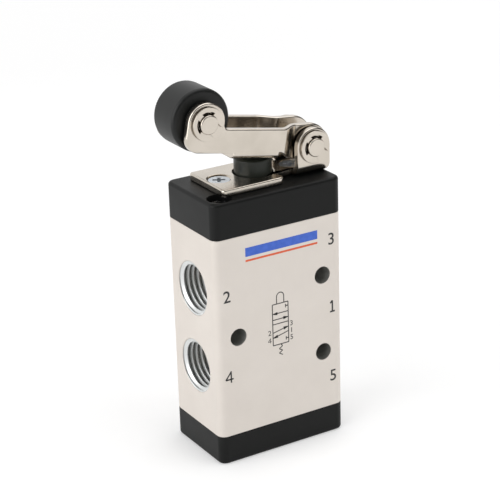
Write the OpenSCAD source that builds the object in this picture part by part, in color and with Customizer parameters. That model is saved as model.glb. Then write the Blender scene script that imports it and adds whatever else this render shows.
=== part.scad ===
// Roller lever air valve: five ports, two positions, spring return.
// Every length is in millimetres. +Z is up, the wide face with the symbol looks
// toward -Y, the two outlet ports open toward -X and the spool slides along Z.
// The origin is the centre of the underside of the bottom cap.

/* [Body] */
// Width of the body between its two port faces
body_w = 35; // [35:0.5:38]
// Depth of the body through its mounting holes
body_d = 22; // [21.5:0.5:26]
// Height of the aluminium body without the caps
body_h = 50; // [50:0.5:52]
// Radius of the four upright corners
corner_r = 2; // [1:0.25:3]
// Diameter of the spool bore
spool_bore_d = 12; // [12:0.01:12.06]

/* [Ports and mounting holes] */
// Thread outside diameter of the two outlets and the inlet, a quarter inch pipe size
main_port_d = 13.16; // [12.6:0.02:13.4]
// Depth of a main port
main_port_depth = 10; // [8:0.5:10]
// Distance between the two outlets
main_port_pitch = 20; // [19.5:0.5:21]
// Thread outside diameter of the two exhausts, an eighth inch pipe size
exhaust_port_d = 9.73; // [9:0.01:10]
// Depth of an exhaust port
exhaust_port_depth = 8; // [7:0.5:9]
// Distance between the two exhausts
exhaust_pitch = 36; // [35.5:0.5:37]
// Diameter of the three cross holes for the mounting screws
mount_hole_d = 4.3; // [3.4:0.1:4.5]
// Distance across the body between the single hole and the pair
mount_pitch_x = 23.6; // [22.6:0.1:24]
// Distance between the two holes of the pair
mount_pitch_z = 20; // [19.5:0.5:20.5]

/* [Caps] */
// Height of the top cap
top_cap_h = 8.8; // [8.5:0.1:10]
// Height of the bottom cap
bottom_cap_h = 7.3; // [7.3:0.1:10]
// Rounding of the outer cap edges
cap_edge_r = 0.8; // [0.4:0.1:1.2]
// Distance of a cap screw from the middle, across
cap_screw_x = 13.6; // [13.3:0.1:13.9]
// Distance of a cap screw from the middle, front to back
cap_screw_y = 7.4; // [7.3:0.05:7.6]

/* [Plunger and spool] */
// Diameter of the plunger
plunger_d = 9; // [8.6:0.02:9.02]
// Radius of the domed plunger head
dome_r = 12; // [8:0.5:14]
// Diameter of the spool lands
land_d = 11.88; // [11.84:0.01:11.92]
// Diameter of the spool between its lands
waist_d = 6.6; // [5.6:0.1:7.4]
// Thickness of a spool seal ring
seal_t = 1.7; // [1.5:0.05:1.74]
// Wire thickness of the return spring
spring_wire_d = 0.85; // [0.7:0.05:0.9]
// Turns of the return spring
spring_turns = 4.75; // [4:0.25:4.75]

/* [Bracket] */
// Thickness of the bracket and lever sheet
sheet_t = 1.8; // [1.5:0.05:1.8]
// Width of the base plate, front to back
plate_w = 16; // [15:0.5:18]
// Reach of the base plate from the plunger axis to its free edge
plate_reach = 12.8; // [12.4:0.1:13.5]
// Outer distance between the two ears
ear_span = 13.2; // [13.2:0.1:14]
// Width of an ear along the valve
ear_w = 9; // [8:0.25:9.4]
// Height of the lever pivot above the cap
pivot_rise = 7; // [7:0.1:8]
// Distance of the lever pivot from the plunger axis
pivot_x = 12.9; // [12.8:0.05:13]

/* [Lever and roller] */
// Tilt of the lever at rest
rest_angle = 10.8; // [10.2:0.1:11.2]
// Distance from the pivot to the roller axis, along the lever
roller_reach = 30.3; // [30:0.1:32]
// Height of the roller axis above the pivot, square to the lever
roller_rise = 5.55; // [5.5:0.05:7]
// Outer width of the lever at the roller
arm_span = 14.4; // [14:0.1:15]
// Outer width of the lever at the pivot
neck_span = 9; // [8.6:0.1:9]
// Outside diameter of the roller
roller_d = 14.8; // [13:0.2:16]
// Width of the roller rim
roller_w = 9.2; // [8:0.2:9.8]
// Diameter of the pivot pin and the roller pin
pin_d = 4.5; // [4.4:0.05:4.6]

/* [Hidden] */
$fn = 48;
wire_fn = 24;
dome_fn = 96;

// How far a cut runs past a face, and how deep joined shapes reach into each other
cut = 1;
bite = 0.1;

// Heights of the stack
body_z = bottom_cap_h;
body_top = body_z + body_h;
cap_top = body_top + top_cap_h;
plate_top = cap_top + sheet_t;
mid_z = body_z + body_h / 2;
pivot_z = cap_top + pivot_rise;

// Port chambers round the spool
chamber_d = 14;
chamber_w = 4;
main_drill_d = 5;
exhaust_drill_d = 4;
mouth_chamfer = 0.2;
main_ports = [[-1, main_port_pitch / 2], [-1, -main_port_pitch / 2], [1, 0]];
exhaust_ports = [[1, exhaust_pitch / 2], [1, -exhaust_pitch / 2]];
mount_holes = [
    [mount_pitch_x / 2, mount_pitch_z / 2],
    [mount_pitch_x / 2, -mount_pitch_z / 2],
    [-mount_pitch_x / 2, 0]
];

// Screws
screw_d = 2.9;
screw_hole_d = 3;
cap_hole_d = 3.2;
pan_head_d = 5.4;
pan_head_h = 1.9;
pan_head_top_d = 4.2;
counterbore_d = 5.8;
top_counterbore_depth = 3;
bottom_counterbore_depth = 2.4;
cap_screw_grip = 8;
tapped_depth = 9;
cross_w = 0.8;
cross_l = 3;
cross_depth = 1.1;
bracket_screw_x = [-9.2, 10.2];
bracket_screw_turn = -30;
bracket_screw_l = 5.8;
bracket_tap_depth = 6.4;
sink_d = 5.9;
sink_depth = (sink_d - cap_hole_d) / 2;
sink_head_d = 5.2;
sink_drop = 0.3;

// Cap seals
cap_ring_r = 7.8;
cap_ring_t = 1.24;
cap_groove_w = 1.6;
cap_groove_depth = 1.3;

// Plunger guide in the top cap
guide_gap = 0.05;
chamber_rise = 3;
cap_chamber_d = 12.4;
flange_d = 11.2;
flange_h = 1.7;
spool_stand = 1.2;
rod_ring_t = 1.6;
rod_ring_gap = 0.08;
rod_groove_h = 1.8;
rod_groove_z = body_top + 5.9;
dome_gap = 0.05;
web_drop = 2.85;
dome_z = pivot_z
    + (pivot_x * sin(rest_angle) - web_drop - dome_r - dome_gap) / cos(rest_angle);

// Spool seals, measured from the middle of the body
seal_from_mid = [24.1, 17.4, 3.2, -0.8, -14, -20.9];
seal_count = len(seal_from_mid);
land_half = 2.05;
seal_gap = 0.05;
groove_w = 1.9;
groove_floor_d = spool_bore_d - 2 * seal_t - 4 * seal_gap;
spool_top = body_top + spool_stand;
spool_bottom = mid_z + seal_from_mid[seal_count - 1] - land_half;
nose_d = 5;
nose_l = 2;

// Return spring pocket in the bottom cap
spring_floor = 1.3;
pocket_d = 9.2;
pocket_mouth_d = 12.4;
pocket_mouth_depth = 1.6;
spring_mean_d = 7.4;
spring_sides = 8;
spring_steps = 14;
dead_turns = 0.8;

// Bracket outline
plate_step_x = 3.7;
ear_left = pivot_x - ear_w / 2;
bend_r = 1;
plate_corner_r = 1;
ear_flat_y = ear_span / 2 - sheet_t - bend_r;
plunger_hole_d = 9.5;
pin_hole_gap = 0.03;
pin_run_gap = 0.05;

// Lever outline, in the lever's own level frame about the pivot
arm_top = 4.3;
arm_bottom = -1.35;
lobe_r = 4.75;
foot_r = 3.5;
notch_r = 0.9;
neck_r = 5;
neck_drop = 4.2;
neck_toe = [-5.6, -3.3];
joggle_from = -9.2;
joggle_to = -4.4;
joggle_steps = 12;
web_from = -22.2;
web_to = -9.8;
web_bend_r = web_drop + arm_bottom;
web_inner_r = 0.4;

// Pins and rings
ring_t = 0.7;
ring_d = 7.8;
ring_mouth_w = 3.1;
ring_recess_d = 5.8;
ring_recess_end = 0.45;
ring_prong_w = 1.5;
pivot_ring_turn = -50;
roller_ring_turn = -34;
groove_d = 3.4;
groove_slack = 0.06;
ring_play = 0.05;
pin_tail = 0.5;
pin_edge = 0.2;
head_d = 6.5;
head_h = 1;
hub_d = 8.4;
hub_play = 0.1;
hub_w = arm_span - 2 * (sheet_t + hub_play);
roller_edge_r = 0.9;

// Finishes
anodised = "#DDD6CD";
black_plastic = "#2A2A2C";
black_rubber = "#1C1C1C";
nickel = "#C9BFB2";
zinc = "#BFC6CE";
spring_steel = "#9A9C9E";
bright_aluminium = "#B9BBBD";

// Shared shapes

module rounded_plan(w, d, r) {
    square([w - 2 * r, d], center = true);
    square([w, d - 2 * r], center = true);
    for (x = [-1, 1], y = [-1, 1])
        translate([x * (w / 2 - r), y * (d / 2 - r)]) circle(r);
}

// A block with round upright corners and a rounded rim at its top
module cap_block(h) {
    rotate([90, 0, 0])
        linear_extrude(body_d - 2 * corner_r, center = true) rim_profile(body_w, h);
    rotate([90, 0, 90])
        linear_extrude(body_w - 2 * corner_r, center = true) rim_profile(body_d, h);
    corners = [[1, 1], [-1, 1], [-1, -1], [1, -1]];
    for (k = [0:3])
        translate([corners[k][0] * (body_w / 2 - corner_r), corners[k][1] * (body_d / 2 - corner_r), 0])
            rotate(90 * k) rotate_extrude(angle = 90) corner_profile(h);
}

// The block cut across, with both top corners rounded
module rim_profile(w, h) {
    translate([-w / 2, 0]) square([w, h - cap_edge_r]);
    translate([cap_edge_r - w / 2, 0]) square([w - 2 * cap_edge_r, h]);
    for (s = [-1, 1])
        translate([s * (w / 2 - cap_edge_r), h - cap_edge_r]) circle(cap_edge_r);
}

// Half of a corner post cut along its axis
module corner_profile(h) {
    square([corner_r, h - cap_edge_r]);
    square([corner_r - cap_edge_r, h]);
    translate([corner_r - cap_edge_r, h - cap_edge_r])
        intersection() {
            circle(cap_edge_r);
            square(cap_edge_r);
        }
}

// A ring of round section lying flat
module seal_ring(mean_r, section_d) {
    rotate_extrude()
        translate([mean_r, 0]) circle(section_d / 2, $fn = wire_fn);
}

// A cylinder along X that starts inside the body and ends past its side face
module port_cut(side, from_x, d) {
    rotate([0, 90 * side, 0])
        translate([0, 0, from_x]) cylinder(d = d, h = body_w / 2 - from_x + cut);
}

module port(side, d, depth, drill_d) {
    port_cut(side, body_w / 2 - depth, d);
    port_cut(side, 0, drill_d);
    rotate([0, 90 * side, 0])
        translate([0, 0, body_w / 2 - mouth_chamfer])
            cylinder(d1 = d, d2 = d + 4 * mouth_chamfer, h = 2 * mouth_chamfer);
}

module cap_screw_places() {
    for (s = [-1, 1])
        translate([s * cap_screw_x, s * cap_screw_y, 0]) children();
}

module cross_recess() {
    translate([0, 0, (cut - cross_depth) / 2])
        for (a = [0, 90])
            rotate(a) cube([cross_l, cross_w, cross_depth + cut], center = true);
}

// A pan head screw whose head rests on z = 0 and whose shank points down
module pan_screw(shank_l) {
    translate([0, 0, -shank_l]) cylinder(d = screw_d, h = shank_l + bite);
    difference() {
        cylinder(d1 = pan_head_d, d2 = pan_head_top_d, h = pan_head_h);
        translate([0, 0, pan_head_h]) cross_recess();
    }
}

// A countersunk screw whose head is flush with z = 0
module sunk_screw(shank_l) {
    head_h = (sink_head_d - screw_d) / 2;
    difference() {
        union() {
            translate([0, 0, -head_h])
                cylinder(d1 = screw_d, d2 = sink_head_d, h = head_h);
            translate([0, 0, -head_h - shank_l]) cylinder(d = screw_d, h = shank_l + bite);
        }
        cross_recess();
    }
}

// A snap ring for a pin groove, open toward +X, lying on z = 0
module e_ring() {
    linear_extrude(ring_t)
        difference() {
            circle(d = ring_d);
            circle(d = groove_d + groove_slack);
            translate([0, -ring_mouth_w / 2]) square([ring_d, ring_mouth_w]);
            ring_recesses();
        }
}

// The two arcs cut out of a snap ring behind its pin, with a prong left between them
module ring_recesses() {
    difference() {
        intersection() {
            circle(d = ring_recess_d);
            translate([-ring_d, -ring_d / 2]) square([ring_d - ring_recess_end, ring_d]);
        }
        translate([-ring_d, -ring_prong_w / 2]) square([ring_d, ring_prong_w]);
    }
}

// A pin along +Z: a head below z = 0, then the shank with its ring groove and tail
module headed_pin(grip) {
    shank_l = grip + ring_play + ring_t + groove_slack + pin_tail;
    difference() {
        union() {
            translate([0, 0, -head_h]) cylinder(d = head_d, h = head_h);
            cylinder(d = pin_d, h = shank_l - pin_edge);
            translate([0, 0, shank_l - pin_edge])
                cylinder(d1 = pin_d, d2 = pin_d - 2 * pin_edge, h = pin_edge);
        }
        translate([0, 0, grip + ring_play])
            difference() {
                cylinder(d = pin_d + cut, h = ring_t + groove_slack);
                translate([0, 0, -cut])
                    cylinder(d = groove_d, h = ring_t + groove_slack + 2 * cut);
            }
    }
}

// Turns a shape that points up so that it points to the front, centred on the valve
module along_front(back_y) {
    translate([0, back_y, 0]) rotate([90, 0, 0]) children();
}

// Moves the lever's own frame to the pivot, at the rest tilt
module at_pivot() {
    translate([pivot_x, 0, pivot_z]) rotate([0, rest_angle, 0]) children();
}

module at_roller() {
    at_pivot() translate([-roller_reach, 0, roller_rise]) children();
}

// Housing

module valve_body() {
    color(anodised)
        difference() {
            translate([0, 0, body_z])
                linear_extrude(body_h) rounded_plan(body_w, body_d, corner_r);
            translate([0, 0, body_z - cut]) cylinder(d = spool_bore_d, h = body_h + 2 * cut);
            translate([0, 0, mid_z]) {
                for (p = concat(main_ports, exhaust_ports))
                    translate([0, 0, p[1] - chamber_w / 2])
                        cylinder(d = chamber_d, h = chamber_w);
                for (p = main_ports)
                    translate([0, 0, p[1]])
                        port(p[0], main_port_d, main_port_depth, main_drill_d);
                for (p = exhaust_ports)
                    translate([0, 0, p[1]])
                        port(p[0], exhaust_port_d, exhaust_port_depth, exhaust_drill_d);
                for (m = mount_holes)
                    translate([m[0], 0, m[1]])
                        rotate([90, 0, 0])
                            cylinder(d = mount_hole_d, h = body_d + 2 * cut, center = true);
            }
            cap_screw_places() {
                translate([0, 0, body_top - tapped_depth])
                    cylinder(d = screw_hole_d, h = tapped_depth + cut);
                translate([0, 0, body_z - cut])
                    cylinder(d = screw_hole_d, h = tapped_depth + cut);
            }
        }
}

module cap_seal_groove() {
    difference() {
        cylinder(r = cap_ring_r + cap_groove_w / 2, h = 2 * cap_groove_depth, center = true);
        cylinder(r = cap_ring_r - cap_groove_w / 2, h = 3 * cap_groove_depth, center = true);
    }
}

module top_cap() {
    color(black_plastic)
        difference() {
            translate([0, 0, body_top]) cap_block(top_cap_h);
            translate([0, 0, body_top - cut])
                cylinder(d = plunger_d + 2 * guide_gap, h = top_cap_h + 2 * cut);
            translate([0, 0, body_top - cut])
                cylinder(d = cap_chamber_d, h = chamber_rise + cut);
            translate([0, 0, rod_groove_z - rod_groove_h / 2])
                cylinder(d = plunger_d + 2 * rod_ring_t + 4 * rod_ring_gap, h = rod_groove_h);
            translate([0, 0, body_top]) cap_seal_groove();
            cap_screw_places() {
                translate([0, 0, body_top - cut]) cylinder(d = cap_hole_d, h = top_cap_h);
                translate([0, 0, cap_top - top_counterbore_depth])
                    cylinder(d = counterbore_d, h = top_counterbore_depth + cut);
            }
            for (x = bracket_screw_x)
                translate([x, 0, cap_top - bracket_tap_depth])
                    cylinder(d = screw_hole_d, h = bracket_tap_depth + cut);
        }
}

module bottom_cap() {
    color(black_plastic)
        difference() {
            translate([0, 0, bottom_cap_h]) mirror([0, 0, 1]) cap_block(bottom_cap_h);
            translate([0, 0, spring_floor]) cylinder(d = pocket_d, h = bottom_cap_h);
            translate([0, 0, bottom_cap_h - pocket_mouth_depth])
                cylinder(d = pocket_mouth_d, h = pocket_mouth_depth + cut);
            translate([0, 0, bottom_cap_h]) cap_seal_groove();
            cap_screw_places() {
                translate([0, 0, -cut]) cylinder(d = cap_hole_d, h = bottom_cap_h + 2 * cut);
                translate([0, 0, -cut])
                    cylinder(d = counterbore_d, h = bottom_counterbore_depth + cut);
            }
        }
}

module top_cap_seal() {
    color(black_rubber)
        translate([0, 0, body_top + cap_groove_depth / 2]) seal_ring(cap_ring_r, cap_ring_t);
}

module bottom_cap_seal() {
    color(black_rubber)
        translate([0, 0, body_z - cap_groove_depth / 2]) seal_ring(cap_ring_r, cap_ring_t);
}

module plunger_seal() {
    color(black_rubber)
        translate([0, 0, rod_groove_z])
            seal_ring(plunger_d / 2 + rod_ring_gap + rod_ring_t / 2, rod_ring_t);
}

module top_cap_screws() {
    color(zinc)
        cap_screw_places()
            translate([0, 0, cap_top - top_counterbore_depth])
                pan_screw(top_cap_h - top_counterbore_depth + cap_screw_grip);
}

module bottom_cap_screws() {
    color(zinc)
        cap_screw_places()
            translate([0, 0, bottom_counterbore_depth])
                mirror([0, 0, 1])
                    pan_screw(bottom_cap_h - bottom_counterbore_depth + cap_screw_grip);
}

module return_spring() {
    color(spring_steel) coil_spring(spring_floor, spool_bottom);
}

// Height of the wire centre after a number of turns: closed end turns, open middle
function wire_z(turn, low, high) =
    let (
        closed = dead_turns * spring_wire_d,
        open_turns = spring_turns - 2 * dead_turns,
        slope = (high - low - 2 * closed) / open_turns
    )
    turn < dead_turns ? low + turn * spring_wire_d
    : turn > spring_turns - dead_turns ? high - (spring_turns - turn) * spring_wire_d
    : low + closed + (turn - dead_turns) * slope;

function wire_ring(turn, low, high) =
    [
        for (k = [0:spring_sides - 1])
            let (
                a = 360 * k / spring_sides,
                r = (spring_mean_d + spring_wire_d * cos(a)) / 2
            )
            [
                r * cos(360 * turn),
                r * sin(360 * turn),
                wire_z(turn, low, high) + spring_wire_d / 2 * sin(a)
            ]
    ];

// A round wire coiled between two levels that its end turns touch
module coil_spring(floor_z, ceiling_z) {
    rings = round(spring_turns * spring_steps);
    low = floor_z + spring_wire_d / 2;
    high = ceiling_z - spring_wire_d / 2;
    points = [
        for (i = [0:rings])
            each wire_ring(i * spring_turns / rings, low, high)
    ];
    side = [
        for (i = [0:rings - 1], k = [0:spring_sides - 1])
            let (a = i * spring_sides, next = (k + 1) % spring_sides)
            [a + k, a + next, a + spring_sides + next, a + spring_sides + k]
    ];
    start = [for (k = [0:spring_sides - 1]) spring_sides - 1 - k];
    finish = [for (k = [0:spring_sides - 1]) rings * spring_sides + k];
    polyhedron(points = points, faces = concat([start, finish], side), convexity = 8);
}

// Bracket with its fasteners

module plate_plan() {
    wide_l = plate_reach + plate_step_x;
    translate([(plate_step_x - plate_reach) / 2, 0])
        rounded_plan(wide_l, plate_w, plate_corner_r);
    translate([0, -ear_flat_y]) square([ear_left + ear_w, 2 * ear_flat_y]);
}

// One quarter of the bend between the plate and an ear, seen along X
module bend_profile() {
    intersection() {
        difference() {
            circle(bend_r + sheet_t);
            circle(bend_r);
        }
        translate([0, -bend_r - sheet_t]) square(bend_r + sheet_t);
    }
}

module ear_profile() {
    translate([pivot_x, pivot_z])
        intersection() {
            circle(ear_w / 2);
            translate([-ear_w / 2, 0]) square([ear_w, ear_w / 2]);
        }
    translate([ear_left, plate_top + bend_r]) square([ear_w, pivot_z - plate_top - bend_r]);
}

module lever_bracket() {
    color(nickel)
        difference() {
            union() {
                translate([0, 0, cap_top]) linear_extrude(sheet_t) plate_plan();
                for (s = [0, 1])
                    mirror([0, s, 0]) {
                        translate([ear_left, ear_flat_y, plate_top + bend_r])
                            rotate([90, 0, 90]) linear_extrude(ear_w) bend_profile();
                        translate([0, ear_span / 2, 0])
                            rotate([90, 0, 0]) linear_extrude(sheet_t) ear_profile();
                    }
            }
            translate([0, 0, cap_top - cut])
                cylinder(d = plunger_hole_d, h = sheet_t + 2 * cut);
            for (x = bracket_screw_x)
                translate([x, 0, plate_top]) {
                    translate([0, 0, -sheet_t - cut])
                        cylinder(d = cap_hole_d, h = sheet_t + 2 * cut);
                    translate([0, 0, -sink_depth])
                        cylinder(d1 = cap_hole_d, d2 = sink_d + 2 * cut, h = sink_depth + cut);
                }
            translate([pivot_x, 0, pivot_z])
                rotate([90, 0, 0])
                    cylinder(d = pin_d + 2 * pin_hole_gap, h = ear_span + 2 * cut, center = true);
        }
}

module bracket_screws() {
    color(zinc)
        for (x = bracket_screw_x)
            translate([x, 0, plate_top - sink_drop])
                rotate(bracket_screw_turn) sunk_screw(bracket_screw_l);
}

module pivot_pin() {
    color(nickel)
        translate([pivot_x, 0, pivot_z])
            along_front(ear_span / 2 + ring_play) headed_pin(ear_span + ring_play);
}

module pivot_e_ring() {
    color(nickel)
        translate([pivot_x, 0, pivot_z])
            along_front(-ear_span / 2 - ring_play) rotate(pivot_ring_turn) e_ring();
}

// Plunger, spool and its seals

module plunger() {
    base = spool_top;
    color(black_plastic)
        union() {
            translate([0, 0, base]) cylinder(d = flange_d, h = flange_h);
            intersection() {
                translate([0, 0, base]) cylinder(d = plunger_d, h = dome_z + dome_r - base);
                union() {
                    translate([0, 0, dome_z]) sphere(dome_r, $fn = dome_fn);
                    translate([0, 0, base]) cylinder(d = plunger_d + cut, h = dome_z - base);
                }
            }
        }
}

module seal_groove(z) {
    translate([0, 0, z - groove_w / 2])
        difference() {
            cylinder(d = land_d + cut, h = groove_w);
            translate([0, 0, -cut]) cylinder(d = groove_floor_d, h = groove_w + 2 * cut);
        }
}

module spool() {
    color(bright_aluminium)
        difference() {
            union() {
                translate([0, 0, spool_bottom]) cylinder(d = waist_d, h = spool_top - spool_bottom);
                translate([0, 0, spool_bottom - nose_l]) cylinder(d = nose_d, h = nose_l + bite);
                for (s = seal_from_mid)
                    translate([0, 0, mid_z + s - land_half]) cylinder(d = land_d, h = 2 * land_half);
                translate([0, 0, mid_z + seal_from_mid[0]])
                    cylinder(d = land_d, h = spool_top - mid_z - seal_from_mid[0]);
            }
            for (s = seal_from_mid) seal_groove(mid_z + s);
        }
}

module spool_seal(i) {
    color(black_rubber)
        translate([0, 0, mid_z + seal_from_mid[i]])
            seal_ring((spool_bore_d - seal_t) / 2 - seal_gap, seal_t);
}

// Lever and roller

// Side view of the lever in its own level frame
module lever_side() {
    lobe_left = -roller_reach - lobe_r;
    lobe_right = -roller_reach + lobe_r;
    translate([-roller_reach, roller_rise]) circle(lobe_r);
    translate([lobe_left, arm_bottom + foot_r])
        square([2 * lobe_r, roller_rise - arm_bottom - foot_r]);
    translate([lobe_left + foot_r, arm_bottom + foot_r]) circle(foot_r);
    translate([lobe_left + foot_r, arm_bottom])
        square([joggle_from - lobe_left - foot_r + bite, arm_top - arm_bottom]);
    difference() {
        translate([lobe_right - bite, arm_top - bite]) square(notch_r + bite);
        translate([lobe_right + notch_r, arm_top + notch_r]) circle(notch_r);
    }
    intersection() {
        circle(neck_r);
        translate([-neck_r, -neck_drop]) square([2 * neck_r, neck_drop + neck_r]);
    }
    polygon([
        [joggle_from, arm_top], [0, neck_r], [0, -neck_drop], neck_toe, [joggle_from, arm_bottom]
    ]);
}

// How far the sheet has moved inward, from 0 at the arm to 1 at the neck
function joggle_share(x) =
    let (u = min(1, max(0, (x - joggle_from) / (joggle_to - joggle_from))))
    u * u * (3 - 2 * u);

function sheet_outer_y(x) = arm_span / 2 - joggle_share(x) * (arm_span - neck_span) / 2;

// Plan of one side of the lever: straight arm, joggle, straight neck
module lever_plan() {
    bend_x = [
        for (i = [0:joggle_steps])
            joggle_from + (joggle_to - joggle_from) * i / joggle_steps
    ];
    stations = concat([-roller_reach - lobe_r - cut], bend_x, [neck_r + cut]);
    last = len(stations) - 1;
    polygon(concat(
        [for (x = stations) [x, sheet_outer_y(x)]],
        [for (i = [0:last]) [stations[last - i], sheet_outer_y(stations[last - i]) - sheet_t]]
    ));
}

// A channel section filled up to a level, with rounded lower corners
module channel_fill(half_w, drop, r, level) {
    translate([-half_w, r - drop]) square([2 * half_w, drop - r + level]);
    translate([r - half_w, -drop]) square([2 * (half_w - r), drop + level]);
    intersection() {
        for (s = [-1, 1])
            translate([s * (half_w - r), r - drop]) circle(r);
        translate([-half_w, -drop]) square([2 * half_w, r]);
    }
}

// Section of the channel that joins the two arms, seen along X
module web_profile() {
    difference() {
        channel_fill(arm_span / 2, web_drop, web_bend_r, 0);
        channel_fill(arm_span / 2 - sheet_t, web_drop - sheet_t, web_inner_r, cut);
    }
}

module lever_arm() {
    lever_h = 2 * (roller_rise + lobe_r + cut);
    color(nickel)
        at_pivot()
            difference() {
                union() {
                    for (s = [0, 1])
                        mirror([0, s, 0])
                            intersection() {
                                rotate([90, 0, 0])
                                    linear_extrude(arm_span + 2 * cut, center = true) lever_side();
                                linear_extrude(lever_h, center = true) lever_plan();
                            }
                    translate([web_from, 0, 0])
                        rotate([90, 0, 90]) linear_extrude(web_to - web_from) web_profile();
                }
                rotate([90, 0, 0])
                    cylinder(d = pin_d + 2 * pin_run_gap, h = arm_span + 2 * cut, center = true);
                translate([-roller_reach, 0, roller_rise])
                    rotate([90, 0, 0])
                        cylinder(d = pin_d + 2 * pin_hole_gap, h = arm_span + 2 * cut, center = true);
            }
}

module roller_pin() {
    color(nickel)
        at_roller() along_front(arm_span / 2 + ring_play) headed_pin(arm_span + ring_play);
}

module roller_e_ring() {
    color(nickel)
        at_roller() along_front(-arm_span / 2 - ring_play) rotate(roller_ring_turn) e_ring();
}

module roller() {
    half_w = roller_w / 2;
    color(black_plastic)
        at_roller()
            rotate([90, 0, 0])
                difference() {
                    union() {
                        cylinder(d = roller_d - 2 * roller_edge_r, h = roller_w, center = true);
                        cylinder(d = roller_d, h = roller_w - 2 * roller_edge_r, center = true);
                        for (s = [-1, 1])
                            translate([0, 0, s * (half_w - roller_edge_r)])
                                rotate_extrude()
                                    translate([roller_d / 2 - roller_edge_r, 0])
                                        circle(roller_edge_r, $fn = wire_fn);
                        cylinder(d = hub_d, h = hub_w, center = true);
                    }
                    cylinder(d = pin_d + 2 * pin_run_gap, h = hub_w + 2 * cut, center = true);
                }
}

valve_body();
top_cap();
bottom_cap();
top_cap_seal();
bottom_cap_seal();
plunger_seal();
top_cap_screws();
bottom_cap_screws();
lever_bracket();
bracket_screws();
pivot_pin();
pivot_e_ring();
return_spring();
plunger();
spool();
lever_arm();
roller_pin();
roller_e_ring();
roller();
for (i = [1:seal_count])
    spool_seal(i - 1);
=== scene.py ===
"""Looks of the roller lever air valve: finishes, threads, printed marks, light and camera."""

import math

import bmesh
import bpy
from mathutils import Matrix, Vector


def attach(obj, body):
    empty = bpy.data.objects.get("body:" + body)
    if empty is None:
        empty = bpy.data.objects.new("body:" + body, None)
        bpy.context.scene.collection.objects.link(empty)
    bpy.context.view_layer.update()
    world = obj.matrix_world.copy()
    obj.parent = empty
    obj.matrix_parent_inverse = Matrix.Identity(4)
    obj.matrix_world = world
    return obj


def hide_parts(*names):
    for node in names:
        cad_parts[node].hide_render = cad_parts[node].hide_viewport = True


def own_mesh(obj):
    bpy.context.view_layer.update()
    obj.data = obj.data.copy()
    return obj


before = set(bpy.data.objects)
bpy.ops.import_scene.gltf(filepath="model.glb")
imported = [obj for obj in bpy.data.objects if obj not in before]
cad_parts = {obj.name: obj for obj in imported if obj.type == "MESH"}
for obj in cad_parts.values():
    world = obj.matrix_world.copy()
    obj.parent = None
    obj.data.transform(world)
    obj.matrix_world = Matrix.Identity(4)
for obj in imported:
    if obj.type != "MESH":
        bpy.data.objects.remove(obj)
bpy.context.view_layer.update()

# Lengths on the valve are written in millimetres and scaled once, the studio is in metres
MM = 0.001

# Places on the valve, in the frame of the part
BODY_HALF_W = 17.5
FRONT_Y = -11.0
MID_Z = 32.3
OUTLET_RISE = 10.0
EXHAUST_RISE = 18.0
MOUNT_HOLE_X = 11.8
MOUNT_HOLE_RISE = 10.0
MOUNT_HOLE_R = 2.15
BRACKET_TOP = 67.6
SPRING_FLOOR = 1.3
SPRING_TOP = 9.35
SPOOL_SEALS = 6

# Photograph: square frame, long lens, seen from the front left and a little above
CAMERA_AT = (-198.185, -330.680, 201.616)
CAMERA_TURN = (68.26116, 1.68208, -31.41955)
CAMERA_LENS = 125.4305
SENSOR = 36.0
CLIP = (0.01, 20.0)


# Shader building blocks

GRAIN_DETAIL = (2.0, 0.6)
MOTTLE_DETAIL = (4.0, 0.55)
MOTTLE_RANGE = (0.3, 0.7)
MIX_MASK, MIX_UNDER, MIX_OVER, MIX_RESULT = 0, 6, 7, 2

# How narrow a gap between metal faces is darkened by painted shade, and how sheltered a fully shaded and an
# open face are
GAP_SHADE_REACH = 0.9
GAP_SHADE_SHELTER = (0.25, 0.75)
GAP_SHADE_SAMPLES = 8


def new_group(name, inputs, outputs):
    """A shader node group with named float inputs (name, default) and outputs (name, kind)."""
    group = bpy.data.node_groups.new(name, "ShaderNodeTree")
    for label, default in inputs:
        socket = group.interface.new_socket(label, in_out="INPUT", socket_type="NodeSocketFloat")
        socket.default_value = default
    for label, kind in outputs:
        group.interface.new_socket(label, in_out="OUTPUT", socket_type=kind)
    return group, group.nodes.new("NodeGroupInput"), group.nodes.new("NodeGroupOutput")


def object_noise(tree, detail, roughness):
    """A noise texture read on Object coordinates."""
    place = tree.nodes.new("ShaderNodeTexCoord")
    noise = tree.nodes.new("ShaderNodeTexNoise")
    noise.inputs["Detail"].default_value = detail
    noise.inputs["Roughness"].default_value = roughness
    tree.links.new(place.outputs["Object"], noise.inputs["Vector"])
    return noise


def make_grain_group():
    """Fine surface grain: a height for bump and a soft mottle for colour and roughness."""
    group, source, sink = new_group(
        "surface_grain",
        [("Grain Scale", 4000.0), ("Mottle Scale", 90.0)],
        [("Height", "NodeSocketFloat"), ("Mottle", "NodeSocketFloat")],
    )
    grain = object_noise(group, *GRAIN_DETAIL)
    mottle = object_noise(group, *MOTTLE_DETAIL)
    group.links.new(source.outputs["Grain Scale"], grain.inputs["Scale"])
    group.links.new(source.outputs["Mottle Scale"], mottle.inputs["Scale"])
    group.links.new(grain.outputs["Fac"], sink.inputs["Height"])
    group.links.new(mottle.outputs["Fac"], sink.inputs["Mottle"])
    return group


GRAIN = make_grain_group()


def ranged(tree, value, low, high, from_low, from_high):
    """Maps a value from one range to another, held inside it."""
    node = tree.nodes.new("ShaderNodeMapRange")
    node.inputs["From Min"].default_value = from_low
    node.inputs["From Max"].default_value = from_high
    node.inputs["To Min"].default_value = low
    node.inputs["To Max"].default_value = high
    tree.links.new(value, node.inputs["Value"])
    return node.outputs["Result"]


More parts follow.
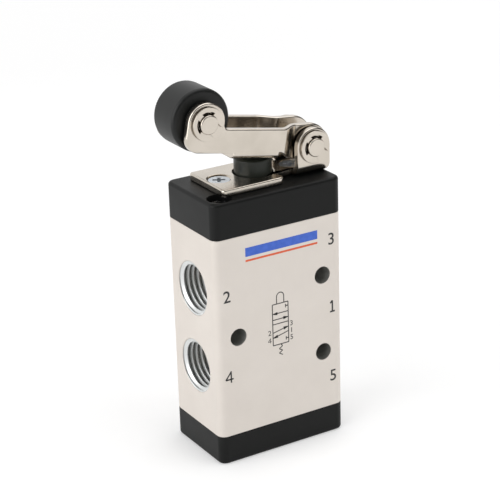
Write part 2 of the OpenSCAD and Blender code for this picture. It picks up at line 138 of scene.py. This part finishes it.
def colour_mix(tree, mask, under, over):
    """Lays a colour over another by a mask. The lower one is a colour or a socket that puts one out."""
    node = tree.nodes.new("ShaderNodeMix")
    node.data_type = "RGBA"
    if isinstance(under, bpy.types.NodeSocket):
        tree.links.new(under, node.inputs[MIX_UNDER])
    else:
        node.inputs[MIX_UNDER].default_value = (*under, 1.0)
    node.inputs[MIX_OVER].default_value = (*over, 1.0)
    tree.links.new(mask, node.inputs[MIX_MASK])
    return node.outputs[MIX_RESULT]


def gap_shade_mask(tree):
    """Painted shade mask: 0 on open surfaces, up to 1 in gaps narrower than the shade's reach."""
    shelter = tree.nodes.new("ShaderNodeAmbientOcclusion")
    shelter.samples = GAP_SHADE_SAMPLES
    shelter.inputs["Distance"].default_value = GAP_SHADE_REACH * MM
    return ranged(tree, shelter.outputs["AO"], 1.0, 0.0, *GAP_SHADE_SHELTER)


def finish_material(name, dark, light, metallic, rough, grain, mottle=90.0, specular=0.5, gap_shade=None):
    """A finish with mottled colour and roughness and a fine bumped grain, with painted shade in its narrow
    gaps if a shade colour is given.

    The grain is given as its scale and its depth.
    """
    grain_scale, grain_depth = grain
    material = bpy.data.materials.new(name)
    material.use_nodes = True
    tree = material.node_tree
    shader = tree.nodes["Principled BSDF"]
    shader.inputs["Metallic"].default_value = metallic
    shader.inputs["Specular IOR Level"].default_value = specular
    surface = tree.nodes.new("ShaderNodeGroup")
    surface.node_tree = GRAIN
    surface.inputs["Grain Scale"].default_value = grain_scale
    surface.inputs["Mottle Scale"].default_value = mottle
    mask = ranged(tree, surface.outputs["Mottle"], 0.0, 1.0, *MOTTLE_RANGE)
    colour = colour_mix(tree, mask, dark, light)
    # Painted shade: narrow gaps, found by ambient occlusion, are darkened towards the given colour
    if gap_shade:
        colour = colour_mix(tree, gap_shade_mask(tree), colour, gap_shade)
    tree.links.new(colour, shader.inputs["Base Color"])
    roughness = ranged(tree, surface.outputs["Mottle"], *rough, *MOTTLE_RANGE)
    tree.links.new(roughness, shader.inputs["Roughness"])
    bump = tree.nodes.new("ShaderNodeBump")
    bump.inputs["Strength"].default_value = 1.0
    bump.inputs["Distance"].default_value = grain_depth * MM
    tree.links.new(surface.outputs["Height"], bump.inputs["Height"])
    tree.links.new(bump.outputs["Normal"], shader.inputs["Normal"])
    return material


# Finishes, named for the pieces that carry them

BLASTED_ANODISED = finish_material(
    "blasted_anodised_aluminium", dark=(0.715, 0.660, 0.605), light=(0.760, 0.705, 0.650),
    metallic=0.2, rough=(0.50, 0.58), grain=(4200.0, 0.003))
# Bare metal of the mounting holes, darkened as painted shade inside them
SHADED_BARE_BORE = finish_material(
    "shaded_bare_bore", dark=(0.34, 0.34, 0.32), light=(0.48, 0.48, 0.455),
    metallic=0.7, rough=(0.40, 0.52), grain=(2600.0, 0.002), mottle=300.0)
# The thread's dark gap colour is painted shade in its grooves
BRIGHT_THREAD = finish_material(
    "bright_cut_thread", dark=(0.66, 0.675, 0.67), light=(0.80, 0.815, 0.81),
    metallic=0.85, rough=(0.32, 0.42), grain=(2600.0, 0.001), gap_shade=(0.13, 0.132, 0.125))
CAP_PLASTIC = finish_material(
    "black_cap_plastic", dark=(0.0048, 0.0052, 0.0050), light=(0.0074, 0.0078, 0.0076),
    metallic=0.0, rough=(0.40, 0.50), grain=(3600.0, 0.004), specular=0.18)
ROLLER_PLASTIC = finish_material(
    "roller_plastic", dark=(0.0050, 0.0056, 0.0052), light=(0.0076, 0.0082, 0.0078),
    metallic=0.0, rough=(0.39, 0.47), grain=(3000.0, 0.002), specular=0.32)
PLUNGER_PLASTIC = finish_material(
    "plunger_plastic", dark=(0.012, 0.014, 0.011), light=(0.020, 0.023, 0.018),
    metallic=0.0, rough=(0.30, 0.40), grain=(2800.0, 0.002), specular=0.3)
# The nickel's dark gap colour is painted shade between close metal faces
NICKEL_PLATE = finish_material(
    "satin_nickel_plate", dark=(0.548, 0.499, 0.434), light=(0.628, 0.574, 0.506),
    metallic=1.0, rough=(0.15, 0.25), grain=(2400.0, 0.0007), mottle=160.0, gap_shade=(0.10, 0.082, 0.060))
ZINC_PLATE = finish_material(
    "zinc_plated_screw", dark=(0.56, 0.60, 0.64), light=(0.72, 0.76, 0.80),
    metallic=0.9, rough=(0.28, 0.40), grain=(3000.0, 0.003), mottle=400.0)
# A dark metal finish for the cap screws, which sit in recesses of the black caps
DARK_SCREW = finish_material(
    "dark_cap_screw", dark=(0.15, 0.155, 0.16), light=(0.26, 0.265, 0.27),
    metallic=1.0, rough=(0.18, 0.28), grain=(3000.0, 0.002), mottle=400.0)
SPRING_WIRE = finish_material(
    "drawn_spring_wire", dark=(0.34, 0.34, 0.36), light=(0.50, 0.50, 0.52),
    metallic=1.0, rough=(0.24, 0.36), grain=(3000.0, 0.002), mottle=500.0)
TURNED_ALUMINIUM = finish_material(
    "turned_aluminium", dark=(0.62, 0.63, 0.64), light=(0.74, 0.75, 0.76),
    metallic=1.0, rough=(0.22, 0.32), grain=(3000.0, 0.002))
SEAL_RUBBER = finish_material(
    "seal_rubber", dark=(0.010, 0.010, 0.010), light=(0.020, 0.020, 0.020),
    metallic=0.0, rough=(0.45, 0.60), grain=(2600.0, 0.004))
BLACK_INK = finish_material(
    "black_ink", dark=(0.012, 0.012, 0.012), light=(0.030, 0.030, 0.030),
    metallic=0.0, rough=(0.45, 0.55), grain=(5000.0, 0.002), mottle=900.0)
BLUE_INK = finish_material(
    "blue_ink", dark=(0.035, 0.11, 0.52), light=(0.055, 0.14, 0.60),
    metallic=0.0, rough=(0.40, 0.50), grain=(5000.0, 0.002), mottle=900.0)
RED_INK = finish_material(
    "red_ink", dark=(0.66, 0.10, 0.03), light=(0.74, 0.13, 0.05),
    metallic=0.0, rough=(0.40, 0.50), grain=(5000.0, 0.002), mottle=900.0)


# Mesh helpers, with angles in degrees

SHADING_EDGE = 35.0
SHARP_EDGE = 35.0
FOLD_BACK = 150.0
FLAT_WITHIN = 0.5
NODE_WELD = 0.008
FINE_WELD = 0.0005
SHORTEST_ROUNDED = 0.06
FLAT_FACE_WEIGHT = 100
BELOW_ALL = -1.0


def new_piece(name, bm, material, body, shading_edge=SHADING_EDGE):
    """Turns a bmesh into a piece that rides on a body, with its finish and its shading edges."""
    for face in bm.faces:
        face.smooth = True
    for edge in bm.edges:
        edge.smooth = not (edge.is_manifold and edge.calc_face_angle() > math.radians(shading_edge))
    mesh = bpy.data.meshes.new(name)
    bm.to_mesh(mesh)
    bm.free()
    mesh.materials.append(material)
    piece = bpy.data.objects.new(name, mesh)
    bpy.context.scene.collection.objects.link(piece)
    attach(piece, body)
    return piece


def keep_flats_flat(piece):
    """Normals follow the large faces, so that a rounded edge doesn't shade a flat face."""
    modifier = piece.modifiers.new("flat_faces", "WEIGHTED_NORMAL")
    modifier.keep_sharp = True
    modifier.weight = FLAT_FACE_WEIGHT


def merged_copy(node):
    """The CAD node's triangles, merged into the fewest flat faces."""
    bm = bmesh.new()
    bm.from_mesh(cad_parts[node].data)
    bmesh.ops.remove_doubles(bm, verts=bm.verts, dist=NODE_WELD * MM)
    bmesh.ops.dissolve_limit(
        bm, angle_limit=math.radians(FLAT_WITHIN), verts=bm.verts, edges=bm.edges, delimit=set())
    return bm


def unfold_corners(bm, reach):
    """Swaps close corners that rounding left in the wrong order along a flat face."""
    fold = math.radians(FOLD_BACK)
    for face in bm.faces:
        for loop in face.loops:
            after = loop.link_loop_next
            here, there = loop.vert, after.vert
            come = here.co - loop.link_loop_prev.vert.co
            step = there.co - here.co
            go = after.link_loop_next.vert.co - there.co
            if step.length < reach * MM and come.angle(step, 0) > fold and step.angle(go, 0) > fold:
                here.co, there.co = there.co.copy(), here.co.copy()


def is_rounded(edge, above):
    """Whether an edge is an outer one above a height, long enough, whose faces meet sharply."""
    if not (edge.is_manifold and edge.is_convex):
        return False
    sharp = edge.calc_face_angle() > math.radians(SHARP_EDGE)
    high = min(vert.co.z for vert in edge.verts) > above * MM
    return sharp and high and edge.calc_length() > SHORTEST_ROUNDED * MM


def round_edges(bm, width, segments, above):
    """Rounds the outer edges above a height."""
    edges = [edge for edge in bm.edges if is_rounded(edge, above)]
    bmesh.ops.bevel(
        bm, geom=edges, offset=width * MM, offset_type="OFFSET", affect="EDGES",
        segments=segments, profile=0.5, material=-1, clamp_overlap=False, loop_slide=True)
    unfold_corners(bm, 2 * width)


def edge_finished(node, body, material, width, segments=2, above=BELOW_ALL):
    """A node with its edges rounded as they leave the press, mould or mill."""
    bm = merged_copy(node)
    round_edges(bm, width, segments, above)
    piece = new_piece(node + "_finished", bm, material, body)
    keep_flats_flat(piece)
    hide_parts(node)
    return piece


# Solid pieces with finished edges

BLOCK_EDGE = 0.12
SHEET_EDGE = 0.36
SHEET_STEPS = 4
PIN_EDGE = 0.10
SCREW_EDGE = 0.06
SCREW_HEAD_RIM = 0.2
PLUNGER_EDGE = 0.2
PLUNGER_STEPS = 3
MOUNT_HOLES = (
    (MOUNT_HOLE_X, MID_Z + MOUNT_HOLE_RISE), (MOUNT_HOLE_X, MID_Z - MOUNT_HOLE_RISE), (-MOUNT_HOLE_X, MID_Z))
WALL_TILT = 0.3


def in_mount_hole(face):
    """Whether a face of the valve body is a mounting hole's wall."""
    x, z = face.center.x / MM, face.center.z / MM
    inside = any(math.hypot(x - hole_x, z - hole_z) <= MOUNT_HOLE_R for hole_x, hole_z in MOUNT_HOLES)
    return inside and abs(face.normal.y) < WALL_TILT


def bare_and_shaded_bores(piece):
    """The drilled mounting holes are bare metal: their walls take a second finish, dark grey as painted
    shade inside the holes.
    """
    piece.data.materials.append(SHADED_BARE_BORE)
    for face in piece.data.polygons:
        if in_mount_hole(face):
            face.material_index = 1


valve_body = edge_finished("valve_body", "housing", BLASTED_ANODISED, BLOCK_EDGE)
bare_and_shaded_bores(valve_body)
for cap in ("top_cap", "bottom_cap"):
    edge_finished(cap, "housing", CAP_PLASTIC, BLOCK_EDGE)
edge_finished("lever_bracket", "housing", NICKEL_PLATE, SHEET_EDGE, SHEET_STEPS)
edge_finished("lever_arm", "lever", NICKEL_PLATE, SHEET_EDGE, SHEET_STEPS)
for axle, carrier in (("pivot", "housing"), ("roller", "lever")):
    edge_finished(axle + "_pin", carrier, NICKEL_PLATE, PIN_EDGE)
    edge_finished(axle + "_e_ring", carrier, NICKEL_PLATE, PIN_EDGE)
edge_finished(
    "bracket_screws", "housing", ZINC_PLATE, SCREW_EDGE, above=BRACKET_TOP - SCREW_HEAD_RIM)
for screws in ("top_cap_screws", "bottom_cap_screws"):
    edge_finished(screws, "housing", DARK_SCREW, SCREW_EDGE)
edge_finished("plunger", "spool", PLUNGER_PLASTIC, PLUNGER_EDGE, PLUNGER_STEPS)

CAD_FINISHES = {
    "top_cap_seal": SEAL_RUBBER, "bottom_cap_seal": SEAL_RUBBER, "plunger_seal": SEAL_RUBBER,
    "spool": TURNED_ALUMINIUM, "roller": ROLLER_PLASTIC,
}
for number in range(1, SPOOL_SEALS + 1):
    CAD_FINISHES["spool_seal_" + str(number)] = SEAL_RUBBER
for node, finish in CAD_FINISHES.items():
    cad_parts[node].material_slots[0].material = finish


# Threads in the ports: quarter inch in the outlets and the inlet, eighth inch in the exhausts

MAIN_THREAD = {"wall": 6.58, "pitch": 1.337, "height": 0.856, "length": 8.6}
SMALL_THREAD = {"wall": 4.865, "pitch": 0.907, "height": 0.581, "length": 6.8}
THREAD_STEPS = 64
THREAD_SHADING_EDGE = 25.0
FLANK_CUTS = 2
SPARE_TURNS = 2
LINER_GAP = 0.01
ROOT_GAP = 0.03
MOUTH_CHAMFER = 0.2
MOUTH_STEEPNESS = 2.0
CUT_DIST = 1e-9

# Where the tooth's root ends and its crest starts, as shares of the pitch
ROOT_END = 0.06
CREST_START = 0.44


def thread_tooth(thread):
    """One tooth's outline as (share of the pitch, radius)."""
    root, crest = thread["wall"] - ROOT_GAP, thread["wall"] - thread["height"]
    return [(0, root), (ROOT_END, root), (CREST_START, crest),
            (1 - CREST_START, crest), (1 - ROOT_END, root), (1, root)]


def cone_mouth(bm, wall):
    """Opens the first turn of a thread to a cone."""
    for vert in bm.verts:
        depth = BODY_HALF_W - abs(vert.co.x) / MM
        radius = math.hypot(vert.co.y, vert.co.z)
        cone = (wall + MOUTH_STEEPNESS * (MOUTH_CHAMFER - depth)) * MM
        if radius < cone:
            vert.co.yz = vert.co.yz * (cone / radius)


def open_rims(bm):
    """The edges with a face on one side only."""
    return [edge for edge in bm.edges if edge.is_boundary]


def threaded_liner(name, side, z, thread):
    """A threaded wall inside a port: a helical groove with a coned mouth, closed behind."""
    pitch, wall = thread["pitch"], thread["wall"] - LINER_GAP
    turns = math.ceil(thread["length"] / pitch) + SPARE_TURNS
    bm = bmesh.new()
    chain = [
        bm.verts.new((side * (BODY_HALF_W + pitch * (1 - share)) * MM, 0, radius * MM))
        for share, radius in thread_tooth(thread)
    ]
    edges = [bm.edges.new(pair) for pair in zip(chain, chain[1:])]
    bmesh.ops.subdivide_edges(bm, edges=edges, cuts=FLANK_CUTS)
    bmesh.ops.spin(
        bm, geom=bm.verts[:] + bm.edges[:], cent=(0, 0, 0), axis=(side, 0, 0),
        dvec=(-side * pitch / THREAD_STEPS * MM, 0, 0), angle=2 * math.pi * turns,
        steps=THREAD_STEPS * turns, use_merge=False, use_duplicate=False)
    bmesh.ops.remove_doubles(bm, verts=bm.verts, dist=FINE_WELD * MM)
    for depth, outward in ((MOUTH_CHAMFER + 2 * LINER_GAP, side), (thread["length"], -side)):
        bmesh.ops.bisect_plane(
            bm, geom=bm.verts[:] + bm.edges[:] + bm.faces[:], dist=CUT_DIST,
            plane_co=(side * (BODY_HALF_W - depth) * MM, 0, 0), plane_no=(outward, 0, 0), clear_outer=True)
    cone_mouth(bm, wall)
    for part in bmesh.ops.extrude_edge_only(bm, edges=open_rims(bm))["geom"]:
        if isinstance(part, bmesh.types.BMVert):
            part.co.yz = part.co.yz * (wall * MM / part.co.yz.length)
    bmesh.ops.bridge_loops(bm, edges=open_rims(bm))
    bmesh.ops.recalc_face_normals(bm, faces=bm.faces)
    bmesh.ops.translate(bm, verts=bm.verts, vec=(0, 0, z * MM))
    return new_piece(name, bm, BRIGHT_THREAD, "housing", THREAD_SHADING_EDGE)


threaded_liner("outlet_upper_thread", -1, MID_Z + OUTLET_RISE, MAIN_THREAD)
threaded_liner("outlet_lower_thread", -1, MID_Z - OUTLET_RISE, MAIN_THREAD)
threaded_liner("inlet_thread", 1, MID_Z, MAIN_THREAD)
threaded_liner("exhaust_upper_thread", 1, MID_Z + EXHAUST_RISE, SMALL_THREAD)
threaded_liner("exhaust_lower_thread", 1, MID_Z - EXHAUST_RISE, SMALL_THREAD)


# Printed marks on the front face, placed by (x, z)

INK = 0.012
INK_Y = FRONT_Y - INK / 2


def ink_bar(bm, start, end, width):
    """A printed straight line from start to end."""
    a, b = Vector(start), Vector(end)
    run = b - a
    middle = (a + b) / 2
    turn = Matrix.Rotation(-math.atan2(run.y, run.x), 4, "Y")
    place = Matrix.Translation(Vector((middle.x, INK_Y, middle.y)) * MM)
    size = Matrix.Diagonal((run.length * MM, INK * MM, width * MM, 1))
    bmesh.ops.create_cube(bm, size=1.0, matrix=place @ turn @ size)


def ink_mark(name, lines, material):
    """Printed lines that belong together, each given as start, end and width."""
    bm = bmesh.new()
    for start, end, width in lines:
        ink_bar(bm, start, end, width)
    return new_piece(name, bm, material, "housing")


def chained(points, width):
    """Lines from each point to the next."""
    return [(a, b, width) for a, b in zip(points, points[1:])]


# Switching symbol

SYMBOL_LINE = 0.24
BOX_LEFT, BOX_RIGHT = -2.42, 1.95
BOX_LOW, BOX_MIDDLE, BOX_HIGH = 27.6, 33.0, 38.1
ARCH_X, ARCH_Z, ARCH_R = -0.2, 39.9, 1.0
ARCH_STEPS = 8
STOP_X, STOP_HALF = 1.25, 0.45
STOP_HEIGHTS = (37.1, 28.75)
FLOW_ARROWS = (
    ((BOX_RIGHT, 35.65), (BOX_LEFT, 35.65)), ((BOX_LEFT, 34.15), (BOX_RIGHT, 34.15)),
    ((BOX_LEFT, 30.85), (BOX_RIGHT, 31.70)), ((BOX_RIGHT, 30.50), (BOX_LEFT, 29.50)),
)
SPRING_ZIGZAG = (
    (-0.25, BOX_LOW), (0.17, 27.0), (-0.76, 26.4), (0.19, 25.85), (-0.77, 25.3), (0.17, 24.7),
)
ARROW_GAP = 0.3
ARROW_STEP = 0.18
ARROW_STEPS = 6
ARROW_GROWTH = 0.09


def arrow(tail, head, width):
    """A line with a filled head just before its end, that widens away from the tip."""
    a, b = Vector(tail), Vector(head)
    along = (b - a).normalized()
    lines = [(a, b, width)]
    for step in range(ARROW_STEPS):
        tip = b - along * (ARROW_GAP + ARROW_STEP * step)
        lines.append((tip, tip - along * ARROW_STEP, width + ARROW_GROWTH * (step + 1)))
    return lines


def plunger_arch():
    """The plunger above the boxes: two posts under a half circle."""
    points = [(ARCH_X - ARCH_R, BOX_HIGH)]
    for step in range(ARCH_STEPS + 1):
        angle = math.pi * step / ARCH_STEPS
        points.append((ARCH_X - math.cos(angle) * ARCH_R, ARCH_Z + math.sin(angle) * ARCH_R))
    points.append((ARCH_X + ARCH_R, BOX_HIGH))
    return points


def symbol_lines():
    """Plunger, two position boxes with their flow arrows and closed ports, spring."""
    outline = [(BOX_LEFT, BOX_LOW), (BOX_RIGHT, BOX_LOW), (BOX_RIGHT, BOX_HIGH), (BOX_LEFT, BOX_HIGH),
               (BOX_LEFT, BOX_LOW)]
    lines = chained(outline, SYMBOL_LINE)
    lines += chained([(BOX_LEFT, BOX_MIDDLE), (BOX_RIGHT, BOX_MIDDLE)], SYMBOL_LINE)
    lines += chained(plunger_arch(), SYMBOL_LINE)
    for tail, head in FLOW_ARROWS:
        lines += arrow(tail, head, SYMBOL_LINE)
    for stop in STOP_HEIGHTS:
        lines += chained([(BOX_RIGHT, stop), (STOP_X, stop)], SYMBOL_LINE)
        lines += chained([(STOP_X, stop - STOP_HALF), (STOP_X, stop + STOP_HALF)], SYMBOL_LINE)
    return lines + chained(SPRING_ZIGZAG, SYMBOL_LINE)


ink_mark("switching_symbol", symbol_lines(), BLACK_INK)


# Plain stripe

STRIPE_LEFT, STRIPE_RIGHT = -9.3, 10.5
BLUE_Z, BLUE_WIDTH = 53.0, 2.2
RED_Z, RED_WIDTH = 50.9, 0.5

ink_mark("plain_blue_stripe", [((STRIPE_LEFT, BLUE_Z), (STRIPE_RIGHT, BLUE_Z), BLUE_WIDTH)], BLUE_INK)
ink_mark("plain_red_stripe", [((STRIPE_LEFT, RED_Z), (STRIPE_RIGHT, RED_Z), RED_WIDTH)], RED_INK)


# Port numbers: large ones beside the ports, small ones beside the symbol

PORT_HEIGHT = 3.0
SYMBOL_HEIGHT = 1.3
PORT_DIGITS = (("2", -14.6, 43.0), ("3", 14.4, 50.9), ("5", 14.5, 15.2))
SYMBOL_DIGITS = (("2", -3.3, 31.0), ("3", 2.8, 32.2), ("1", 2.8, 30.4), ("5", 2.8, 28.6))
PORT_FOUR_AT = (-14.6, 22.7)
SYMBOL_FOUR_AT = (-3.3, 29.1)
DIGIT_SIZE = 1.4
DIGIT_WEIGHT = 0.011

# Strokes of a 4, as shares of its height
FOUR_LEFT, FOUR_STEM, FOUR_RIGHT = -0.36, 0.13, 0.34
FOUR_BAR = -0.19
FOUR_STROKE = 0.125

# Place and strokes of the large 1
ONE_X, ONE_LOW, ONE_HIGH = 14.5, 32.3, 35.1
ONE_FLAG = 0.6
ONE_FOOT = 0.7
ONE_STROKE = 0.42


def printed_digit(name, digit, x, z, height):
    """A plain digit set in type."""
    curve = bpy.data.curves.new(name, "FONT")
    curve.body = digit
    curve.size = height * DIGIT_SIZE * MM
    curve.align_x = "CENTER"
    curve.align_y = "CENTER"
    curve.extrude = INK / 2 * MM
    curve.offset = DIGIT_WEIGHT * height * MM
    source = bpy.data.objects.new(curve.name + "_outline", curve)
    bpy.context.scene.collection.objects.link(source)
    bpy.context.view_layer.update()
    bm = bmesh.new()
    bm.from_mesh(source.to_mesh())
    source.to_mesh_clear()
    bpy.data.objects.remove(source)
    bmesh.ops.remove_doubles(bm, verts=bm.verts, dist=FINE_WELD * MM)
    place = Matrix.Translation(Vector((x, INK_Y, z)) * MM)
    upright = Matrix.Rotation(math.pi / 2, 4, "X")
    bmesh.ops.transform(bm, verts=bm.verts, matrix=place @ upright)
    return new_piece(name, bm, BLACK_INK, "housing")


def printed_four(name, x, z, height):
    """The digit 4 in three straight strokes."""
    left, stem, right = (x + share * height for share in (FOUR_LEFT, FOUR_STEM, FOUR_RIGHT))
    low, bar, high = z - height / 2, z + FOUR_BAR * height, z + height / 2
    width = FOUR_STROKE * height
    lines = [
        ((stem, low), (stem, high), width),
        ((left, bar), (right, bar), width),
        ((left, bar), (stem, high - width / 2), width),
    ]
    return ink_mark(name, lines, BLACK_INK)


def printed_one(name, x, low, high):
    """The digit 1 in strokes: a flag, a stem and a foot."""
    lines = chained([(x - ONE_FLAG, high - ONE_FLAG), (x, high), (x, low)], ONE_STROKE)
    lines += chained([(x - ONE_FOOT, low), (x + ONE_FOOT, low)], ONE_STROKE)
    return ink_mark(name, lines, BLACK_INK)


for digit, x, z in PORT_DIGITS:
    printed_digit("port_digit_" + digit, digit, x, z, PORT_HEIGHT)
for digit, x, z in SYMBOL_DIGITS:
    printed_digit("symbol_digit_" + digit, digit, x, z, SYMBOL_HEIGHT)
printed_four("port_digit_4", *PORT_FOUR_AT, PORT_HEIGHT)
printed_four("symbol_digit_4", *SYMBOL_FOUR_AT, SYMBOL_HEIGHT)
printed_one("port_digit_1", ONE_X, ONE_LOW, ONE_HIGH)


# Return spring

WIRE = 0.85
COIL_R = 3.7
WIRE_SIDES = 14
COIL_STEPS = 40
SPRING_TURNS = 4.75
CLOSED_TURNS = 0.8


def coiled_spring():
    """A round wire wound up from the pocket floor: a closed turn, open turns, a closed turn."""
    bm = bmesh.new()
    low, high = SPRING_FLOOR + WIRE / 2, SPRING_TOP - WIRE / 2
    bmesh.ops.create_circle(
        bm, cap_ends=False, radius=WIRE / 2 * MM, segments=WIRE_SIDES,
        matrix=Matrix.Translation(Vector((COIL_R, 0, low)) * MM) @ Matrix.Rotation(math.pi / 2, 4, "X"))
    closed = (CLOSED_TURNS, CLOSED_TURNS * WIRE)
    opened = (SPRING_TURNS - 2 * CLOSED_TURNS, high - low - 2 * CLOSED_TURNS * WIRE)
    last = bm.verts[:] + bm.edges[:]
    for turns, rise in (closed, opened, closed):
        steps = round(turns * COIL_STEPS)
        last = bmesh.ops.spin(
            bm, geom=last, cent=(0, 0, 0), axis=(0, 0, 1), dvec=(0, 0, rise / steps * MM),
            angle=2 * math.pi * turns, steps=steps, use_merge=False, use_duplicate=False)["geom_last"]
    bmesh.ops.holes_fill(bm, edges=open_rims(bm), sides=0)
    bmesh.ops.recalc_face_normals(bm, faces=bm.faces)
    piece = new_piece("return_spring_wound", bm, SPRING_WIRE, "housing")
    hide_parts("return_spring")
    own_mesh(piece)


coiled_spring()


# Stage, light and camera, in metres

WHITE = (1.0, 1.0, 1.0, 1.0)
FLOOR_HALF = 3.0
FLOOR_PAINT = (0.80, 0.80, 0.80, 1.0)
PANEL_PAINT = (0.05, 0.045, 0.04, 1.0)
WORLD_LIGHT = 0.45
BACKGROUND_LIGHT = 1.0

# The floor's own glow near the valve and far from it, and where the change starts and ends
FLOOR_GLOW = (0.29, 0.60)
FLOOR_REACH = (0.35, 1.3)

VALVE_MIDDLE = (0, 0, 0.045)
SOFT_LAMPS = {
    "left_softbox": {"at": (-0.88, -0.06, 0.40), "size": (1.0, 1.0), "watts": 6.1, "mirrored": True},
    "front_softbox": {"at": (0.52, -0.74, 0.35), "size": (1.0, 0.5), "watts": 3.3, "mirrored": False},
    "top_softbox": {"at": (0.30, 0.10, 0.90), "size": (1.0, 1.0), "watts": 3.0, "mirrored": True},
}
DARK_PANELS = {
    "dark_room": {"at": (-0.3, -1.0, 0.70), "size": (2.8, 1.3), "about": "X"},
    "dark_side": {"at": (1.0, 0.1, 0.62), "size": (0.9, 2.0), "about": "Y"},
}


def background_rays(tree):
    """1 where the background is seen directly, or in metal or glass."""
    path = tree.nodes.new("ShaderNodeLightPath")
    total = path.outputs["Is Camera Ray"]
    for label in ("Is Glossy Ray", "Is Transmission Ray"):
        either = tree.nodes.new("ShaderNodeMath")
        either.operation = "MAXIMUM"
        tree.links.new(total, either.inputs[0])
        tree.links.new(path.outputs[label], either.inputs[1])
        total = either.outputs[0]
    return total


def floor_glow(tree):
    """The floor's own light, stronger where the lamps don't reach, so that it stays pale."""
    place = tree.nodes.new("ShaderNodeTexCoord")
    away = tree.nodes.new("ShaderNodeVectorMath")
    away.operation = "LENGTH"
    tree.links.new(place.outputs["Object"], away.inputs[0])
    return ranged(tree, away.outputs["Value"], *FLOOR_GLOW, *FLOOR_REACH)


def floor_material():
    """Matte pale paint that takes shadows, lifted by its glow where the background is seen."""
    material = bpy.data.materials.new("pale_floor")
    material.use_nodes = True
    tree = material.node_tree
    tree.nodes.remove(tree.nodes["Principled BSDF"])
    matte = tree.nodes.new("ShaderNodeBsdfDiffuse")
    matte.inputs["Color"].default_value = FLOOR_PAINT
    glow = tree.nodes.new("ShaderNodeEmission")
    glow.inputs["Color"].default_value = WHITE
    lift = tree.nodes.new("ShaderNodeMath")
    lift.operation = "MULTIPLY"
    tree.links.new(background_rays(tree), lift.inputs[0])
    tree.links.new(floor_glow(tree), lift.inputs[1])
    tree.links.new(lift.outputs[0], glow.inputs["Strength"])
    both = tree.nodes.new("ShaderNodeAddShader")
    tree.links.new(matte.outputs[0], both.inputs[0])
    tree.links.new(glow.outputs[0], both.inputs[1])
    tree.links.new(both.outputs[0], tree.nodes["Material Output"].inputs["Surface"])
    return material


def stage_sheet(name, bm, material):
    """A flat sheet of the studio, which isn't part of the valve."""
    mesh = bpy.data.meshes.new(name)
    bm.to_mesh(mesh)
    bm.free()
    mesh.materials.append(material)
    sheet = bpy.data.objects.new(name, mesh)
    bpy.context.scene.collection.objects.link(sheet)
    return sheet


def stage_floor():
    """A wide pale floor under the valve."""
    bm = bmesh.new()
    bmesh.ops.create_grid(bm, x_segments=1, y_segments=1, size=FLOOR_HALF)
    stage_sheet("pale_floor", bm, floor_material())


def studio_world():
    """White where the background is seen, dimmer as a light."""
    world = bpy.data.worlds.new("studio")
    bpy.context.scene.world = world
    world.use_nodes = True
    tree = world.node_tree
    shade = tree.nodes["Background"]
    shade.inputs["Color"].default_value = WHITE
    strength = ranged(tree, background_rays(tree), WORLD_LIGHT, BACKGROUND_LIGHT, 0.0, 1.0)
    tree.links.new(strength, shade.inputs["Strength"])


def dark_panel(name, at, size, about):
    """An unlit side of the studio, turned up about an axis. Only reflections see it."""
    bm = bmesh.new()
    bmesh.ops.create_grid(bm, x_segments=1, y_segments=1, size=0.5)
    bmesh.ops.scale(bm, verts=bm.verts, vec=(*size, 1))
    bmesh.ops.rotate(bm, verts=bm.verts, cent=(0, 0, 0), matrix=Matrix.Rotation(math.pi / 2, 3, about))
    bmesh.ops.translate(bm, verts=bm.verts, vec=at)
    material = bpy.data.materials.new(name)
    material.use_nodes = True
    material.node_tree.nodes["Principled BSDF"].inputs["Base Color"].default_value = PANEL_PAINT
    panel = stage_sheet(name, bm, material)
    panel.visible_camera = False
    panel.visible_diffuse = False
    panel.visible_shadow = False


def soft_lamp(name, at, size, watts, mirrored):
    """A softbox aimed at the valve. One that isn't mirrored leaves no reflection in the metal."""
    lamp = bpy.data.lights.new(name, "AREA")
    lamp.shape = "RECTANGLE"
    lamp.size, lamp.size_y = size
    lamp.energy = watts
    holder = bpy.data.objects.new(name, lamp)
    bpy.context.scene.collection.objects.link(holder)
    holder.visible_glossy = mirrored
    holder.location = at
    holder.rotation_euler = (Vector(VALVE_MIDDLE) - Vector(at)).to_track_quat("-Z", "Y").to_euler()


def photo_camera():
    """The camera at the photograph's place."""
    lens = bpy.data.cameras.new("photo_camera")
    lens.lens = CAMERA_LENS
    lens.sensor_width = SENSOR
    lens.clip_start, lens.clip_end = CLIP
    camera = bpy.data.objects.new("photo_camera", lens)
    bpy.context.scene.collection.objects.link(camera)
    camera.location = Vector(CAMERA_AT) * MM
    camera.rotation_euler = [math.radians(turn) for turn in CAMERA_TURN]
    bpy.context.scene.camera = camera


stage_floor()
studio_world()
for name, panel in DARK_PANELS.items():
    dark_panel(name, **panel)
for name, lamp in SOFT_LAMPS.items():
    soft_lamp(name, **lamp)
photo_camera()
bpy.context.scene.view_settings.view_transform = "Standard"
